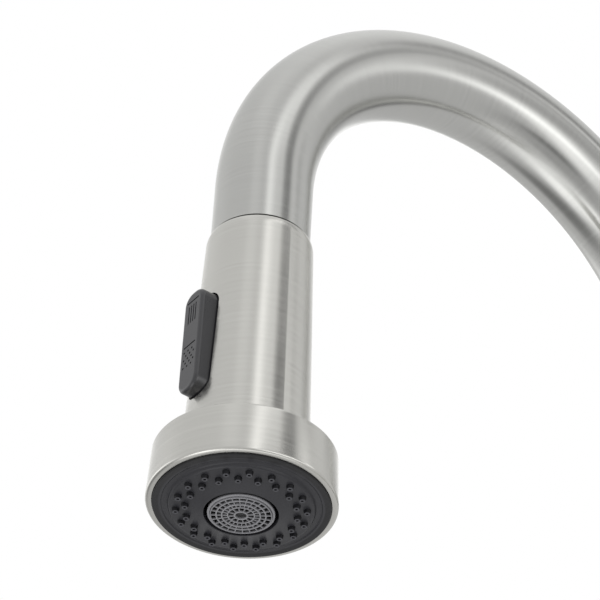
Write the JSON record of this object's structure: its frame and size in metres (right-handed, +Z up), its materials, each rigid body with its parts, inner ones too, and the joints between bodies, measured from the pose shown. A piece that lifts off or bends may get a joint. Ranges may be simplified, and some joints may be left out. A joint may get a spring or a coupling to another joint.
{
  "type": "pull-out kitchen faucet",
  "caption": "Single-lever gooseneck kitchen faucet with a pull-out spray head that has a flared bell ring and a rocker button.",
  "frame": {"origin": "centre of the shank at the level of the deck", "axes": "+Z up the riser, -Y towards the spray head (the front), +X towards the lever (the user's right)"},
  "size_m": [0.115, 0.2125, 0.49],
  "materials": {
    "satin_nickel": "satin nickel, brushed round the piece",
    "stainless": "plain stainless steel",
    "brass": "machined brass",
    "black_plastic": "fine satin moulded",
    "grey_plastic": "satin moulded",
    "white_plastic": "moulded acetal",
    "black_rubber": "soft silicone",
    "ceramic": "polished alumina ceramic",
    "hose_braid": "nylon braid over a rubber tube"
  },
  "bodies": {
    "root": {"base_flange": "satin_nickel", "deck_gasket": "black_rubber", "body_housing": "satin_nickel", "threaded_shank": "brass", "rubber_washer": "black_rubber", "steel_washer": "stainless", "mounting_nut": "brass", "jack_screws": "stainless", "cartridge_seals": "black_rubber", "cartridge_base": "white_plastic", "fixed_disc": "ceramic", "cartridge_body": "white_plastic", "cartridge_nut": "brass", "dome_cap": "satin_nickel", "glide_ring": "black_plastic", "spout_clip": "stainless"},
    "spout": {"spout_foot": "brass", "bearing_seals": "black_rubber", "spout_collar": "satin_nickel", "spout_tube": "satin_nickel", "hose_run": "hose_braid", "hose_guide": "white_plastic", "hose_tail": "brass", "dock_bush": "black_plastic", "dock_clip": "stainless"},
    "hose_end": {"hose_ferrule": "stainless", "hose_drop": "hose_braid"},
    "spray_head": {"head_sleeve": "satin_nickel", "bell_ring": "satin_nickel", "face_plate": "black_plastic", "nozzle_mat": "black_rubber", "aerator_grid": "grey_plastic", "aerator_housing": "black_plastic", "aerator_screen": "stainless", "flow_regulator": "white_plastic", "aerator_seal": "black_rubber", "waterway_core": "white_plastic", "chamber_seal": "black_rubber", "rocker_pin": "stainless", "check_valve_cage": "white_plastic", "hose_nut": "brass", "hose_washer": "black_rubber", "dock_collar": "black_plastic"},
    "rocker": {"rocker_button": "black_plastic"},
    "spool": {"diverter_spool": "white_plastic", "spool_seals": "black_rubber"},
    "poppet": {"check_valve_poppet": "white_plastic", "check_valve_spring": "stainless"},
    "carrier": {"rotor": "white_plastic", "stem_pin": "stainless"},
    "lever": {"stem": "brass", "handle_hub": "satin_nickel", "lever_rod": "satin_nickel", "set_screw": "stainless", "index_plug": "grey_plastic"},
    "disc": {"moving_disc": "ceramic", "disc_coupler": "white_plastic"}
  },
  "joints": [
    {"name": "spout_swivel", "type": "hinge", "parent": "root", "child": "spout", "pos_m": [0, 0, 0.105], "axis": [0, 0, 1], "continuous": true},
    {"name": "head_pull", "type": "slide", "parent": "spout", "child": "hose_end", "axis": [0, 0, -1], "range_m": [0, 0.4], "deforming": ["hose_drop"]},
    {"name": "head_spin", "type": "hinge", "parent": "hose_end", "child": "spray_head", "pos_m": [0, -0.158, 0.27], "axis": [0, 0, 1], "continuous": true},
    {"name": "rocker_tilt", "type": "hinge", "parent": "spray_head", "child": "rocker", "pos_m": [0, -0.1698, 0.2438], "axis": [-1, 0, 0], "range_deg": [0, 5]},
    {"name": "spool_slide", "type": "slide", "parent": "spray_head", "child": "spool", "axis": [0, 0, -1], "range_m": [0, 0.0006]},
    {"name": "check_valve_lift", "type": "slide", "parent": "spray_head", "child": "poppet", "axis": [0, 0, -1], "range_m": [0, 0.002], "stiffness_N_per_m": 100, "springref_m": -0.002, "deforming": ["check_valve_spring"]},
    {"name": "lever_turn", "type": "hinge", "parent": "root", "child": "carrier", "pos_m": [0.0415, 0, 0.072], "axis": [1, 0, 0], "range_deg": [-45, 45]},
    {"name": "lever_lift", "type": "hinge", "parent": "carrier", "child": "lever", "pos_m": [0.0415, 0, 0.072], "axis": [0, 1, 0], "range_deg": [0, 25]},
    {"name": "disc_slide", "type": "slide", "parent": "carrier", "child": "disc", "axis": [0, 0, 1], "range_m": [0, 0.0058]}
  ],
  "couplings": [
    {"joint": "spool_slide", "follows": "rocker_tilt", "m_per_rad": 0.005},
    {"joint": "disc_slide", "follows": "lever_lift", "m_per_rad": 0.0129}
  ]
}
